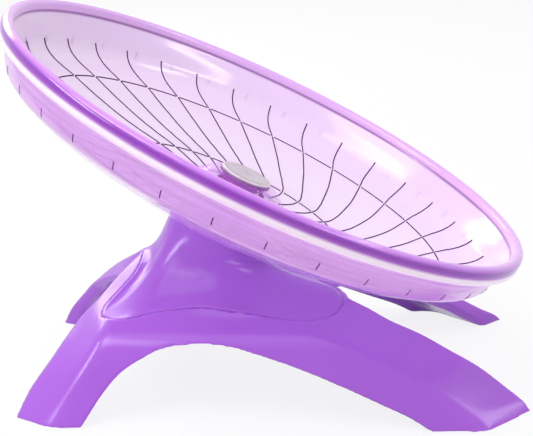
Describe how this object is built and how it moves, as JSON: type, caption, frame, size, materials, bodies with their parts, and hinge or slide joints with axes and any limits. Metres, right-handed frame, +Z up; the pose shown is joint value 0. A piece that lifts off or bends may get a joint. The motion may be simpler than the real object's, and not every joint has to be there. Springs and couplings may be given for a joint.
{
  "type": "flying saucer wheel",
  "caption": "Tilted clear saucer with swirl ribs that spins on a ball bearing, on a flared column over a hollow four-legged stand, for a small pet to run on.",
  "frame": {"origin": "middle of the whole part's box, on the floor", "axes": "+Z up, +X towards the low side of the saucer, +Y along the saucer's level diameter, away from the front of the stand"},
  "size_m": [0.1628, 0.18, 0.1215],
  "materials": {
    "clear_purple": "clear tinted injection-moulded plastic, polished",
    "clear_grey": "clear smoky moulded plastic",
    "violet_plastic": "opaque glossy moulded plastic",
    "magenta_plastic": "opaque glossy moulded plastic",
    "bearing_steel": "ground and polished",
    "screw_steel": "zinc plated"
  },
  "bodies": {
    "stand": {"retaining_disc": "magenta_plastic", "leg_frame": "violet_plastic", "neck_column": "violet_plastic", "spindle": "bearing_steel", "bearing_inner_race": "bearing_steel", "retaining_screw": "screw_steel", "neck_screw_1": "screw_steel", "neck_screw_2": "screw_steel", "neck_screw_3": "screw_steel", "neck_screw_4": "screw_steel"},
    "saucer": {"saucer_dish": "clear_purple", "hub_cap": "clear_grey", "bearing_outer_race": "bearing_steel", "bearing_shield_upper": "bearing_steel", "bearing_shield_lower": "bearing_steel"},
    "ball_cage": {"bearing_cage": "bearing_steel", "bearing_ball_1": "bearing_steel", "bearing_ball_2": "bearing_steel", "bearing_ball_3": "bearing_steel", "bearing_ball_4": "bearing_steel", "bearing_ball_5": "bearing_steel", "bearing_ball_6": "bearing_steel", "bearing_ball_7": "bearing_steel"}
  },
  "joints": [
    {"name": "saucer_spin", "type": "hinge", "parent": "stand", "child": "saucer", "pos_m": [0.00063, 0, 0.0801], "axis": [0.4485, 0, 0.8938], "continuous": true},
    {"name": "cage_orbit", "type": "hinge", "parent": "stand", "child": "ball_cage", "pos_m": [0.00063, 0, 0.0801], "axis": [0.4485, 0, 0.8938], "continuous": true}
  ],
  "couplings": [
    {"joint": "cage_orbit", "follows": "saucer_spin", "ratio": 0.61}
  ]
}
